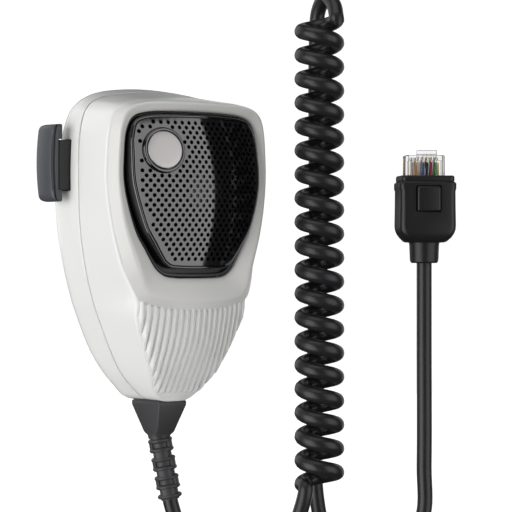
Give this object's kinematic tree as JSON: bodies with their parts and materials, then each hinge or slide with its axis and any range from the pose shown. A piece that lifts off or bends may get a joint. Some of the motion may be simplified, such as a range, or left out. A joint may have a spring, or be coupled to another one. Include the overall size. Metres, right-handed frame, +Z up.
{
  "type": "palm microphone with coiled cord",
  "caption": "Hand-held palm microphone with a domed grille, side push-to-talk paddle, hang-up button, coiled cord and booted modular plug.",
  "frame": {"origin": "middle of the flat face of the hang-up button on the microphone's back", "axes": "+Z up along the microphone, cord end down; -Y towards the talker (grille side), +Y out of the back; -X towards the push-to-talk paddle"},
  "size_m": [0.106, 0.0797, 0.1754],
  "materials": {
    "pale_housing": "smooth moulded, soft gloss",
    "pale_bezel": "satin moulded",
    "black_grille": "polished black, perforated",
    "black_cloth": "fine woven dust cloth",
    "silver_badge": "satin silver",
    "black_rubber": "matt",
    "grey_rubber": "matt",
    "cord_jacket": "satin extruded jacket",
    "aluminium_can": "drawn can",
    "lead_jacket": "insulated wire",
    "screw_steel": "plated",
    "green_board": "coated laminate",
    "black_plastic": "moulded",
    "pale_connector": "moulded",
    "grey_plastic": "moulded, satin",
    "clear_plastic": "clear polycarbonate",
    "gold_contact": "gold flash"
  },
  "bodies": {
    "microphone": {"rear_housing": "pale_housing", "front_housing": "pale_housing", "front_bezel": "pale_bezel", "grille": "black_grille", "dust_screen": "black_cloth", "badge_disc": "silver_badge", "cartridge_boot": "black_rubber", "mic_cartridge": "aluminium_can", "element_lead_1": "lead_jacket", "element_lead_2": "lead_jacket", "housing_screw_1": "screw_steel", "housing_screw_2": "screw_steel", "housing_screw_3": "screw_steel", "housing_screw_4": "screw_steel", "circuit_board": "green_board", "board_screw_1": "screw_steel", "board_screw_2": "screw_steel", "preamp_chip": "black_plastic", "board_capacitor": "aluminium_can", "cord_connector": "pale_connector", "ptt_switch": "black_plastic", "hang_up_button": "black_plastic", "hang_up_screw": "screw_steel", "strain_relief": "grey_rubber", "cord_clamp": "black_plastic", "cord_clamp_screw_1": "screw_steel", "cord_clamp_screw_2": "screw_steel", "coiled_cord": "cord_jacket", "cord_lead_1": "lead_jacket", "cord_lead_2": "lead_jacket", "cord_lead_3": "lead_jacket", "cord_lead_4": "lead_jacket", "plug_body": "clear_plastic", "plug_boot": "black_rubber", "plug_contact_1": "gold_contact", "plug_contact_2": "gold_contact", "plug_contact_3": "gold_contact", "plug_contact_4": "gold_contact", "plug_contact_5": "gold_contact", "plug_contact_6": "gold_contact", "plug_contact_7": "gold_contact", "plug_contact_8": "gold_contact", "plug_wire_1": "lead_jacket", "plug_wire_2": "lead_jacket", "plug_wire_3": "lead_jacket", "plug_wire_4": "lead_jacket", "plug_wire_5": "lead_jacket", "plug_wire_6": "lead_jacket", "plug_wire_7": "lead_jacket", "plug_wire_8": "lead_jacket"},
    "ptt": {"ptt_paddle": "grey_plastic", "ptt_slider": "black_plastic"},
    "switch_lever": {"ptt_switch_lever": "screw_steel"},
    "switch_plunger": {"ptt_switch_plunger": "black_plastic"},
    "release_pad": {"boot_release_pad": "black_rubber"},
    "latch": {"plug_latch": "clear_plastic"}
  },
  "joints": [
    {"name": "ptt_press", "type": "slide", "parent": "microphone", "child": "ptt", "axis": [1, 0, 0], "range_m": [0, 0.0023], "stiffness_N_per_m": 400, "springref_m": -0.001},
    {"name": "switch_lever_swing", "type": "hinge", "parent": "microphone", "child": "switch_lever", "pos_m": [-0.01995, -0.0135, 0.0186], "axis": [0, -1, 0], "range_deg": [0, 14]},
    {"name": "switch_plunger_press", "type": "slide", "parent": "microphone", "child": "switch_plunger", "axis": [1, 0, 0], "range_m": [0, 0.0015]},
    {"name": "pad_press", "type": "slide", "parent": "microphone", "child": "release_pad", "axis": [0.5592, 0.829, 0], "range_m": [0, 0.0014], "stiffness_N_per_m": 500, "springref_m": -0.001},
    {"name": "latch_flex", "type": "hinge", "parent": "microphone", "child": "latch", "pos_m": [0.05946, -0.07285, 0.0168], "axis": [0.829, -0.5592, 0], "range_deg": [0, 6.5]}
  ],
  "couplings": [
    {"joint": "switch_lever_swing", "follows": "ptt_press", "rad_per_m": 106},
    {"joint": "switch_plunger_press", "follows": "ptt_press", "ratio": 0.652},
    {"joint": "latch_flex", "follows": "pad_press", "rad_per_m": 78}
  ]
}
